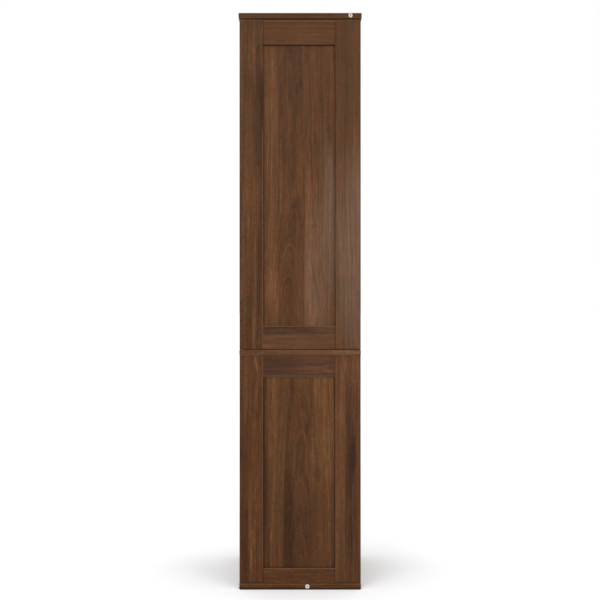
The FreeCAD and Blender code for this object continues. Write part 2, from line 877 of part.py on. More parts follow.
def stile(name, width, height, at, groove_on_right):
    thick = s.door_thickness
    if groove_on_right:
        outline = [
            (0, 0), (width, 0), (width, groove_start), (width - s.groove_depth, groove_start),
            (width - s.groove_depth, groove_end), (width, groove_end), (width, thick), (0, thick),
        ]
    else:
        outline = [
            (0, 0), (width, 0), (width, thick), (0, thick), (0, groove_end),
            (s.groove_depth, groove_end), (s.groove_depth, groove_start), (0, groove_start),
        ]
    body = slab(name, "XY_Plane", outline, height, at)
    inset = s.groove_depth.value / 2

    def on_a_corner(edge):
        """Whether an edge is one of the stile's four long outer corners."""
        x = edge.CenterOfMass.x
        y = edge.CenterOfMass.y
        if not runs_along(edge, "z"):
            return False
        near_side = min(abs(x), abs(x - width.value)) < inset
        near_face = min(abs(y), abs(y - thick.value)) < inset / 2
        pivot_corner = groove_on_right and abs(x) < inset and abs(y - thick.value) < inset / 2
        return near_side and near_face and not pivot_corner

    rounded(body, s.edge_round, on_a_corner)
    if groove_on_right:
        rounded(
            body,
            s.pivot_edge_round,
            lambda edge: runs_along(edge, "z")
            and abs(edge.CenterOfMass.x) < inset / 9
            and abs(edge.CenterOfMass.y - thick.value) < inset / 9,
        )
    return body


def rail(name, width, at, groove_on_top):
    """A rail with its panel groove and a stub tongue at each end."""
    thick = s.door_thickness
    if groove_on_top:
        outline = [
            (0, 0), (thick, 0), (thick, width), (groove_end, width),
            (groove_end, width - s.groove_depth), (groove_start, width - s.groove_depth),
            (groove_start, width), (0, width),
        ]
        tongue_low, tongue_high = 0, width - s.groove_depth
    else:
        outline = [
            (0, 0), (groove_start, 0), (groove_start, s.groove_depth), (groove_end, s.groove_depth),
            (groove_end, 0), (thick, 0), (thick, width), (0, width),
        ]
        tongue_low, tongue_high = s.groove_depth, width
    body = doc.addObject("PartDesign::Body", name)
    pad(body, polygon(body, "YZ_Plane", outline), rail_span)
    near = s.groove_depth.value / 4

    def on_a_corner(edge):
        y = edge.CenterOfMass.y
        z = edge.CenterOfMass.z
        near_face = min(abs(y), abs(y - thick.value)) < near
        near_edge = min(abs(z), abs(z - width.value)) < near
        return runs_along(edge, "x") and near_face and near_edge

    rounded(body, s.edge_round, on_a_corner)
    front = s.panel_recess
    back = s.panel_recess + s.panel_board
    cheeks = [(front, tongue_low), (back, tongue_low), (back, tongue_high), (front, tongue_high)]
    pad(body, polygon(body, "YZ_Plane", cheeks, -tongue), rail_span + tongue * 2)
    return place(body, at)


for name, door in DOORS.items():
    low, high = door["low"], door["high"]
    height = high - low
    rail_x = left_outer + s.hinge_stile
    pins = [pivot_pin(high, "+z", door["gap"]), pivot_pin(low, "-z", door["gap"])]
    strike, peg = strikes[name]
    hinge = stile(f"{name}_hinge_stile_body", s.hinge_stile, height, (left_outer, door_front, low), True)
    keep(cut(hinge, pins), f"{name}_hinge_stile")
    latch_x = right_outer - s.latch_stile
    latch = stile(f"{name}_latch_stile_body", s.latch_stile, height, (latch_x, door_front, low), False)
    keep(cut(latch, [peg]), f"{name}_latch_stile")
    top_rail_at = (rail_x, door_front, high - door["top_rail"])
    keep(rail(f"{name}_top_rail", door["top_rail"], top_rail_at, False), f"{name}_top_rail")
    bottom_rail_at = (rail_x, door_front, low)
    keep(rail(f"{name}_bottom_rail", door["bottom_rail"], bottom_rail_at, True), f"{name}_bottom_rail")
    panel_low = low + door["bottom_rail"] - tongue
    panel_height = height - door["top_rail"] - door["bottom_rail"] + tongue * 2
    panel_at = (rail_x - tongue, door_front + s.panel_recess, panel_low)
    panel_outline = rectangle(rail_span + tongue * 2, panel_height)
    keep(slab(f"{name}_panel", "XZ_Plane", panel_outline, s.panel_board, panel_at), f"{name}_panel")
    keep(group(pins), f"{name}_pivot_pins")
    keep(group(bushings[name]), f"{name}_pivot_bushings")
    bumper_x = right_outer - s.board / 2
    bumpers = [
        rod(s.bumper_radius, s.bumper_height, (bumper_x, door_back, low + s.bumper_inset), "+y"),
        rod(s.bumper_radius, s.bumper_height, (bumper_x, door_back, high - s.bumper_inset), "+y"),
    ]
    keep(group(bumpers), f"{name}_bumpers")
    keep(strike, f"{name}_strike")
    keep(latch_bodies[name], f"{name}_latch_body")
    keep(latch_plungers[name], f"{name}_latch_plunger")
    for piece, shape in lock_pieces[name].items():
        keep(shape, f"{name}_lock_{piece}")

keep(group(latch_screws), "latch_screws")

# Check every piece, then write it
doc.recompute()
for thing in doc.Objects:
    if "Invalid" in thing.State or "Error" in thing.State:
        raise RuntimeError(f"{thing.Name} ({thing.Label}) is {thing.State}")
os.makedirs("parts", exist_ok=True)
for thing in SUB_PARTS:
    if thing.Shape.isNull() or not thing.Shape.isValid() or not thing.Shape.Solids:
        raise RuntimeError(f"{thing.Label} has no valid solid")
for thing in SUB_PARTS:
    thing.Shape.exportStep(f"parts/{thing.Label}.step")
print(len(SUB_PARTS), "sub-parts written")
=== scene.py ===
import math

import bpy
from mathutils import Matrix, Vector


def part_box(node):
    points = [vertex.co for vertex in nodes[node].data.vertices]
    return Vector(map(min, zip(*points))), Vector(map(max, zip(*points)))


# A tall walnut cabinet on a white floor, seen from the front. Metres, +Z up, the front faces -Y.

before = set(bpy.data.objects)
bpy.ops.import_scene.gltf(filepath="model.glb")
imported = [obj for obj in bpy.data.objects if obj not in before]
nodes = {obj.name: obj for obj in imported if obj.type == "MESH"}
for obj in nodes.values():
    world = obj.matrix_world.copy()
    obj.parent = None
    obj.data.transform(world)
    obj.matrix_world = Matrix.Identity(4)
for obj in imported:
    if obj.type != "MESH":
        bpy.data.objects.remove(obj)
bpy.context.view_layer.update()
scene = bpy.context.scene
MM = 0.001


class Tree:
    """One node tree, with short words for its nodes."""

    def __init__(self, tree):
        self.tree = tree
        self.nodes = tree.nodes

    def put(self, socket, value):
        if isinstance(value, bpy.types.NodeSocket):
            self.tree.links.new(value, socket)
        else:
            socket.default_value = value

    def add(self, kind, **settings):
        node = self.nodes.new(kind)
        for key, value in settings.items():
            setattr(node, key, value)
        return node

    def fill(self, node, *values):
        """Puts the values into the node's first inputs, and gives its outputs."""
        for socket, value in zip(node.inputs, values):
            self.put(socket, value)
        return node.outputs

    def place(self):
        """The shaded point in the piece's own metres, which are the frame's while it is at rest."""
        return self.add("ShaderNodeTexCoord").outputs["Object"]

    def math(self, operation, *values):
        return self.fill(self.add("ShaderNodeMath", operation=operation), *values)[0]

    def vector(self, operation, *values):
        outputs = self.fill(self.add("ShaderNodeVectorMath", operation=operation), *values)
        return outputs[1 if operation == "LENGTH" else 0]

    def split(self, vector):
        return tuple(self.fill(self.add("ShaderNodeSeparateXYZ"), vector))

    def join(self, x, y, z):
        return self.fill(self.add("ShaderNodeCombineXYZ"), x, y, z)[0]

    def noise(self, vector, scale, detail, roughness):
        node = self.add("ShaderNodeTexNoise")
        self.put(node.inputs["Vector"], vector)
        self.put(node.inputs["Scale"], scale)
        self.put(node.inputs["Detail"], detail)
        self.put(node.inputs["Roughness"], roughness)
        return node.outputs[0]

    def span(self, value, low, high, start=0.0, end=1.0, smooth=False):
        """Carries low to high over to start to end, and holds the value beyond them."""
        node = self.add("ShaderNodeMapRange", interpolation_type="SMOOTHSTEP" if smooth else "LINEAR")
        return self.fill(node, value, low, high, start, end)[0]

    def blend(self, share, a, b, mode="MIX"):
        node = self.add("ShaderNodeMix", data_type="RGBA", blend_type=mode, clamp_factor=True)
        self.put(node.inputs[0], share)
        self.put(node.inputs[6], a)
        self.put(node.inputs[7], b)
        return node.outputs[2]

    def ramp(self, value, stops):
        node = self.add("ShaderNodeValToRGB")
        self.put(node.inputs[0], value)
        node.color_ramp.interpolation = "B_SPLINE"
        items = node.color_ramp.elements
        while len(items) < len(stops):
            items.new(0.5)
        for item, (place, colour) in zip(items, stops):
            item.position = place
            item.color = (*colour, 1)
        return node.outputs[0]

    def use(self, group, **values):
        """Adds a node group. An underscore in a word stands for the space in the socket's name."""
        node = self.add("ShaderNodeGroup", node_tree=group)
        for key, value in values.items():
            self.put(node.inputs[key.replace("_", " ")], value)
        return node.outputs


def fresh_tree(owner, output):
    """The emptied node tree of a material or world, and the socket that shows."""
    owner.use_nodes = True
    tree = Tree(owner.node_tree)
    tree.nodes.clear()
    return tree, tree.add(output).inputs[0]


def new_group(name, vectors, floats, results):
    group = bpy.data.node_groups.new(name, "ShaderNodeTree")
    for kind, words in (("Vector", vectors), ("Float", floats)):
        for word in words:
            group.interface.new_socket(name=word, in_out="INPUT", socket_type=f"NodeSocket{kind}")
    for word in results:
        group.interface.new_socket(name=word, in_out="OUTPUT", socket_type="NodeSocketFloat")
    tree = Tree(group)
    return tree, tree.add("NodeGroupInput").outputs, tree.add("NodeGroupOutput").inputs


# How far the rings stray from true, in metres.
WANDER = 0.07
RIPPLE = 0.011
SWAY = 0.024
# Which way a board's seed moves its noise.
SEED_SHIFT = (1.7, 3.1, 2.3)


def make_growth():
    """Growth rings cut by the face of a board. The place is (across, through, along) the grain."""
    tree, given, result = new_group(
        "Growth",
        ["Place"],
        ["Seed", "Pith Across", "Pith Through", "Lean", "From", "Until"],
        ["Tone", "Across", "Along", "Fibre", "Pores", "Lines", "Hue"],
    )
    shift = tree.vector("SCALE", SEED_SHIFT)
    tree.put(shift.node.inputs["Scale"], given["Seed"])
    drifted = tree.vector("ADD", given["Place"], shift)

    def stretched(waves, detail, roughness=0.5):
        """Noise with so many waves to a metre across, through and along the grain."""
        return tree.noise(tree.vector("MULTIPLY", drifted, waves), 1.0, detail, roughness)

    def centred(waves, detail, roughness=0.5):
        return tree.math("SUBTRACT", stretched(waves, detail, roughness), 0.5)

    across, through, along = tree.split(given["Place"])
    wander = tree.math("MULTIPLY", centred((2.2, 2.2, 1.1), 2), WANDER)
    ripple = tree.math("MULTIPLY", centred((11, 11, 4.5), 2), RIPPLE)
    sway = tree.math("MULTIPLY", centred((1.3, 1.3, 3.0), 2), SWAY)
    bent = tree.math("ADD", across, tree.math("ADD", wander, ripple))
    rise = tree.math("MINIMUM", tree.math("SUBTRACT", along, given["From"]), given["Until"])
    lean = tree.math("MULTIPLY", rise, given["Lean"])
    deep = tree.math("ADD", tree.math("ADD", through, given["Pith Through"]), tree.math("ADD", lean, sway))
    side = tree.math("SUBTRACT", bent, given["Pith Across"])
    radius = tree.vector("LENGTH", tree.join(side, deep, 0.0))

    def ring_noise(rings_per_metre, drift, detail):
        out = tree.math("MULTIPLY", radius, rings_per_metre)
        at = tree.join(out, tree.math("MULTIPLY", along, drift), given["Seed"])
        return tree.math("SUBTRACT", tree.noise(at, 1.0, detail, 0.55), 0.5)

    bands = ring_noise(30, 0.5, 2)
    rings = ring_noise(120, 1.2, 3)
    lines = ring_noise(430, 2.5, 3)
    streaks = centred((20, 20, 1.1), 3, 0.55)
    threads = centred((110, 110, 4.0), 3, 0.55)
    hairs = centred((300, 300, 19), 2, 0.55)
    clouds = centred((7, 7, 3.0), 3)
    figure = centred((75, 75, 48), 3, 0.6)
    flecks = centred((300, 300, 130), 2)
    fibre = stretched((620, 620, 8), 3, 0.6)
    fibre_tone = tree.math("SUBTRACT", fibre, 0.5)
    pores = tree.span(stretched((2100, 2100, 120), 2), 0.56, 0.68)
    weights = (
        (bands, 0.26), (rings, 0.52), (lines, 0.56), (streaks, 0.31), (threads, 0.44), (hairs, 0.66),
        (clouds, 0.28), (figure, 0.19), (flecks, 0.40), (fibre_tone, 0.26), (pores, -0.20),
    )
    tone = 0.5
    for part, weight in weights:
        tone = tree.math("MULTIPLY_ADD", part, weight, tone)
    made = {
        "Tone": tone,
        "Across": bent,
        "Along": along,
        "Fibre": fibre,
        "Pores": pores,
        "Lines": tree.math("ADD", rings, hairs),
        "Hue": stretched((60, 60, 14), 2),
    }
    for word, value in made.items():
        tree.put(result[word], value)
    return tree.tree


def make_mark():
    """One soft mark that runs with the grain: a streak or cloud of the wood, or a painted sheen or shadow.
    """
    tree, given, result = new_group(
        "Mark", [], ["Across", "Along", "U", "W", "Half Width", "Half Length", "Slope"], ["Share"])
    step = tree.math("SUBTRACT", given["Along"], given["W"])
    line = tree.math("MULTIPLY_ADD", step, given["Slope"], given["U"])
    off = tree.math("DIVIDE", tree.math("SUBTRACT", given["Across"], line), given["Half Width"])
    end = tree.math("DIVIDE", step, given["Half Length"])
    far = tree.vector("LENGTH", tree.join(off, tree.math("MULTIPLY", end, 0.9), 0.0))
    tree.put(result["Share"], tree.span(far, 1.3, 0.3, smooth=True))
    return tree.tree


VENEER_EDGE = 1.4 * MM


def make_strip():
    """A strip of veneer: one crisp edge, then fading away to one side of it."""
    tree, given, result = new_group(
        "Strip", [], ["Across", "Along", "Edge", "Side", "Width", "Middle", "Half Length"], ["Share"])
    off = tree.math("MULTIPLY", tree.math("SUBTRACT", given["Across"], given["Edge"]), given["Side"])
    crisp = tree.span(off, 0.0, VENEER_EDGE)
    fade = tree.span(tree.math("DIVIDE", off, given["Width"]), 1.15, 0.3, smooth=True)
    from_middle = tree.math("ABSOLUTE", tree.math("SUBTRACT", given["Along"], given["Middle"]))
    end = tree.math("DIVIDE", from_middle, given["Half Length"])
    reach = tree.span(end, 1.15, 0.6, smooth=True)
    tree.put(result["Share"], tree.math("MULTIPLY", crisp, tree.math("MULTIPLY", fade, reach)))
    return tree.tree


ARCH_RAGGED = 0.3
WAVES_IN_A_DROP = 2.2


def make_arch():
    """An arch, where a ring runs out at the face.

    U and W place its tip. One Drop below the tip it is Half Width wide to each side, and Reach is how far
    down it shows. A second line of the other tone lies inside it.
    """
    tree, given, result = new_group(
        "Arch", [], ["Across", "Along", "Lines", "U", "W", "Half Width", "Drop", "Reach"], ["Share"])
    down = tree.math("SUBTRACT", given["W"], given["Along"])
    off = tree.math("DIVIDE", tree.math("SUBTRACT", given["Across"], given["U"]), given["Half Width"])
    level = tree.math("SUBTRACT", tree.math("DIVIDE", down, given["Drop"]), tree.math("MULTIPLY", off, off))
    level = tree.math("MULTIPLY_ADD", given["Lines"], ARCH_RAGGED, level)
    level = tree.math("MULTIPLY", level, WAVES_IN_A_DROP)
    wave = tree.math("SINE", tree.math("MULTIPLY", level, math.tau))
    starts = tree.span(level, -0.1, 0.2, smooth=True)
    stops = tree.span(level, 1.1, 0.8, smooth=True)
    inside = tree.math("MULTIPLY", starts, stops)
    fade = tree.span(tree.math("DIVIDE", down, given["Reach"]), 1.0, 0.4, smooth=True)
    tree.put(result["Share"], tree.math("MULTIPLY", wave, tree.math("MULTIPLY", inside, fade)))
    return tree.tree


def make_edge():
    """How near a point of a board is to the board's nearest sharp edge."""
    tree, given, result = new_group("Edge", ["Place", "Low", "High"], [], ["Distance"])
    from_low = tree.vector("SUBTRACT", given["Place"], given["Low"])
    from_high = tree.vector("SUBTRACT", given["High"], given["Place"])
    gap = tree.split(tree.vector("MINIMUM", from_low, from_high))
    small = tree.math("MINIMUM", gap[0], gap[1])
    large = tree.math("MAXIMUM", gap[0], gap[1])
    second = tree.math("MAXIMUM", small, tree.math("MINIMUM", large, gap[2]))
    tree.put(result["Distance"], second)
    return tree.tree


GROWTH = make_growth()
MARK = make_mark()
STRIP = make_strip()
ARCH = make_arch()
EDGE = make_edge()

# Colours of the wood by its tone: a place from 0 to 1, and a colour.
WALNUT = (
    (0.05, (0.037, 0.0146, 0.0055)),
    (0.28, (0.073, 0.0304, 0.0118)),
    (0.50, (0.110, 0.0438, 0.0149)),
    (0.66, (0.140, 0.0564, 0.0194)),
    (0.82, (0.186, 0.081, 0.033)),
    (1.00, (0.256, 0.119, 0.054)),
)
# The painted sheen's colours by the tone: a lamp's soft reflection, paler and greyer than the wood.
SHEEN_PALE = (
    (0.00, (0.082, 0.041, 0.023)),
    (0.50, (0.146, 0.0755, 0.0430)),
    (1.00, (0.228, 0.125, 0.076)),
)
HARDBOARD = (
    (0.30, (0.135, 0.070, 0.037)),
    (0.50, (0.210, 0.118, 0.066)),
    (0.72, (0.290, 0.172, 0.102)),
)
COOL_HUE = (0.94, 1.016, 1.035, 1)
WARM_HUE = (1.06, 0.984, 0.965, 1)
# Light colour of the sharp edges (rubbing and painted highlight) and of the front's painted highlights.
WEAR_AND_HIGHLIGHT = (0.25, 0.135, 0.070, 1)
# Dark colour of the front lines: painted shadow in gaps and recesses, and dark joints.
JOINT_AND_SHADOW_DARK = (0.020, 0.009, 0.005, 1)
# The painted shade at the cabinet's outer edges.
RIM_SHADE = (0.026, 0.012, 0.007, 1)
# Where the warm and the cool hue of the wood begin, on the noise that picks between them.
HUE_LOW = 0.34
HUE_HIGH = 0.66
# Gloss of the wood: plain wood, what its fibre and pores add, and the depth of its grain.
WOOD_SPECULAR = 0.13
WOOD_ROUGHNESS = 0.38
FIBRE_ROUGHNESS = 0.16
PORE_ROUGHNESS = 0.12
FIBRE_HEIGHT = 0.5
PORE_HEIGHT = -0.9
GRAIN_DEPTH = 0.12 * MM
# How far the rings break up the edge of a mark, and of a painted sheen.
MARK_SPREAD = 2.2
SHEEN_SPREAD = 0.5
# The lighter edge, partly rubbing and partly painted highlight, by the distance from a sharp edge:
# where it starts, where it is full, and how ragged that is.
LIGHT_EDGE_START = 1.1 * MM
LIGHT_EDGE_FULL = -0.4 * MM
LIGHT_EDGE_RAGGED = 1.6 * MM
LIGHT_EDGE_WAVES = 90
# The cabinet's outer edges get painted shade, not the lighter edge. Their boards' boxes count as this
# much wider for the lighter edge.
RIM_UNLIGHTENED = 20 * MM
RIM_START = 3 * MM
RIM_FULL = 1 * MM
RIM_STRENGTH = 0.65
# A line on the front fades out over this length at both ends, in mm. It is full over a share of its width.
LINE_FADE = 30
LINE_CORE_SHARE = 0.4
FRONT_SHARE = 0.5


def material_of(name):
    material = bpy.data.materials.new(name)
    tree, surface = fresh_tree(material, "ShaderNodeOutputMaterial")
    shader = tree.add("ShaderNodeBsdfPrincipled")
    tree.put(surface, shader.outputs[0])
    return material, tree, shader


def bump(tree, shader, height, distance, strength):
    node = tree.add("ShaderNodeBump")
    for word, value in (("Strength", strength), ("Distance", distance), ("Height", height)):
        tree.put(node.inputs[word], value)
    tree.put(shader.inputs["Normal"], node.outputs[0])


def mark_share(tree, made, mark, spread):
    """How strongly one mark shows at a point, broken up by the rings."""
    u, w, half_width, half_length, slope = mark
    found = tree.use(MARK, Across=made["Across"], Along=made["Along"], U=u * MM, W=w * MM,
                     Half_Width=half_width * MM, Half_Length=half_length * MM, Slope=slope)["Share"]
    return tree.math("MULTIPLY", found, tree.math("MULTIPLY_ADD", made["Lines"], spread, 1.0))


def draw_figure(tree, made, grain, tone, marks, strips, arches):
    """The tone with the board's marks, strips and arches in it."""
    for *mark, strength in marks:
        tone = tree.math("MULTIPLY_ADD", mark_share(tree, made, mark, MARK_SPREAD), strength, tone)
    across, _, along = tree.split(grain)
    for edge, side, width, middle, half_length, strength in strips:
        found = tree.use(STRIP, Across=across, Along=along, Edge=edge * MM, Side=float(side),
                         Width=width * MM, Middle=middle * MM, Half_Length=half_length * MM)["Share"]
        tone = tree.math("MULTIPLY_ADD", found, strength, tone)
    for u, w, half_width, drop, reach, strength in arches:
        found = tree.use(ARCH, Across=across, Along=along, Lines=made["Lines"], U=u * MM, W=w * MM,
                         Half_Width=half_width * MM, Drop=drop * MM, Reach=reach * MM)["Share"]
        tone = tree.math("MULTIPLY_ADD", found, strength, tone)
    return tone


def draw_painted_sheens(tree, made, tone, colour, painted_sheens):
    """The colour with the board's painted sheen over it: pale clouds for the soft reflection of a lamp."""
    if not painted_sheens:
        return colour
    pale = tree.ramp(tone, SHEEN_PALE)
    for *mark, strength in painted_sheens:
        share = tree.math("MULTIPLY", mark_share(tree, made, mark, SHEEN_SPREAD), strength)
        colour = tree.blend(share, colour, pale)
    return colour


def draw_wear_and_highlight(tree, place, box, rim, edge_wear_and_highlight, colour):
    """The colour with the board's sharp edges lighter, partly from rubbing and partly a painted highlight.
    """
    low, high = Vector(box[0]), Vector(box[1])
    if rim:
        low.x -= RIM_UNLIGHTENED
        high.x += RIM_UNLIGHTENED
    distance = tree.use(EDGE, Place=place, Low=tuple(low), High=tuple(high))["Distance"]
    ragged = tree.math("MULTIPLY_ADD", tree.noise(place, LIGHT_EDGE_WAVES, 3, 0.6), -LIGHT_EDGE_RAGGED, distance)
    edge_lightening = tree.math("MULTIPLY", tree.span(ragged, LIGHT_EDGE_START, LIGHT_EDGE_FULL, smooth=True), edge_wear_and_highlight)
    return tree.blend(edge_lightening, colour, WEAR_AND_HIGHLIGHT)


def draw_front(tree, place, front, rim, reach, lines, colour):
    """The colour with the front's painted highlights and shadows, its dark joints, and the rim's painted
    shade.
    """
    x, y, z = tree.split(place)
    on_front = tree.span(y, front + reach * MM, front + reach * FRONT_SHARE * MM)
    for axis, middle, half, start, end, strength in lines:
        here, there = (x, z) if axis == "x" else (z, x)
        off = tree.math("ABSOLUTE", tree.math("SUBTRACT", here, middle * MM))
        near = tree.span(off, half * MM, half * LINE_CORE_SHARE * MM, smooth=True)
        for outer, inner in ((start, start + LINE_FADE), (end, end - LINE_FADE)):
            near = tree.math("MULTIPLY", near, tree.span(there, outer * MM, inner * MM, smooth=True))
        near = tree.math("MULTIPLY", near, on_front)
        shade = JOINT_AND_SHADOW_DARK if strength < 0 else WEAR_AND_HIGHLIGHT
        colour = tree.blend(tree.math("MULTIPLY", near, abs(strength)), colour, shade)
    # Painted shade over the front's last few mm at the cabinet's outer edges.
    if rim:
        last = tree.span(tree.math("ABSOLUTE", x), rim - RIM_START, rim - RIM_FULL, smooth=True)
        last = tree.math("MULTIPLY", last, on_front)
        colour = tree.blend(tree.math("MULTIPLY", last, RIM_STRENGTH), colour, RIM_SHADE)
    return colour


def walnut(name, box, rim, along="z", face="y", seed=0.0, pith=(0.3, 0.25), lean=0.05, start=1.0,
           until=10.0, lift=0.0, contrast=1.0, tint=(1, 1, 1), marks=(), painted_sheens=(), strips=(), arches=(),
           lines=(), edge_wear_and_highlight=0.4, reach=2):
    """Walnut veneer for one board.

    along is the grain's direction, and face the way a board with upright grain faces. pith, lean, start
    and until place the centre of the rings. lift shifts the tone and contrast spreads it. rim is how far
    from the middle the cabinet's outer edge is, or 0 on a board without one; the front gets a painted shade
    there. reach is how deep the front's lines go, in mm. The table of boards says what marks, painted
    sheens, strips, arches and lines hold.
    """
    material, tree, shader = material_of(name)
    place = tree.place()
    x, y, z = tree.split(place)
    if along == "x":
        grain = tree.join(z, y, x)
    else:
        grain = tree.join(x, y, z) if face == "y" else tree.join(y, x, z)
    made = tree.use(GROWTH, Place=grain, Seed=seed, Pith_Across=pith[0], Pith_Through=pith[1], Lean=lean,
                    From=start, Until=until)
    tone = tree.math("MULTIPLY_ADD", tree.math("SUBTRACT", made["Tone"], 0.5), contrast, 0.5 + lift)
    tone = draw_figure(tree, made, grain, tone, marks, strips, arches)
    colour = draw_painted_sheens(tree, made, tone, tree.ramp(tone, WALNUT), painted_sheens)
    hue = tree.blend(tree.span(made["Hue"], HUE_LOW, HUE_HIGH), COOL_HUE, WARM_HUE)
    colour = tree.blend(1.0, colour, hue, "MULTIPLY")
    colour = draw_wear_and_highlight(tree, place, box, rim, edge_wear_and_highlight, colour)
    colour = draw_front(tree, place, box[0].y, rim, reach, lines, colour)
    colour = tree.blend(1.0, colour, (*tint, 1), "MULTIPLY")
    tree.put(shader.inputs["Base Color"], colour)
    rough = tree.math("MULTIPLY_ADD", made["Fibre"], FIBRE_ROUGHNESS, WOOD_ROUGHNESS)
    rough = tree.math("MULTIPLY_ADD", made["Pores"], PORE_ROUGHNESS, rough)
    tree.put(shader.inputs["Roughness"], rough)
    shader.inputs["Specular IOR Level"].default_value = WOOD_SPECULAR
    height = tree.math("MULTIPLY", made["Fibre"], FIBRE_HEIGHT)
    height = tree.math("MULTIPLY_ADD", made["Pores"], PORE_HEIGHT, height)
    bump(tree, shader, height, GRAIN_DEPTH, 0.6)
    return material


def paint(name, material):
    piece = nodes[name]
    piece.data.materials.clear()
    piece.data.materials.append(material)
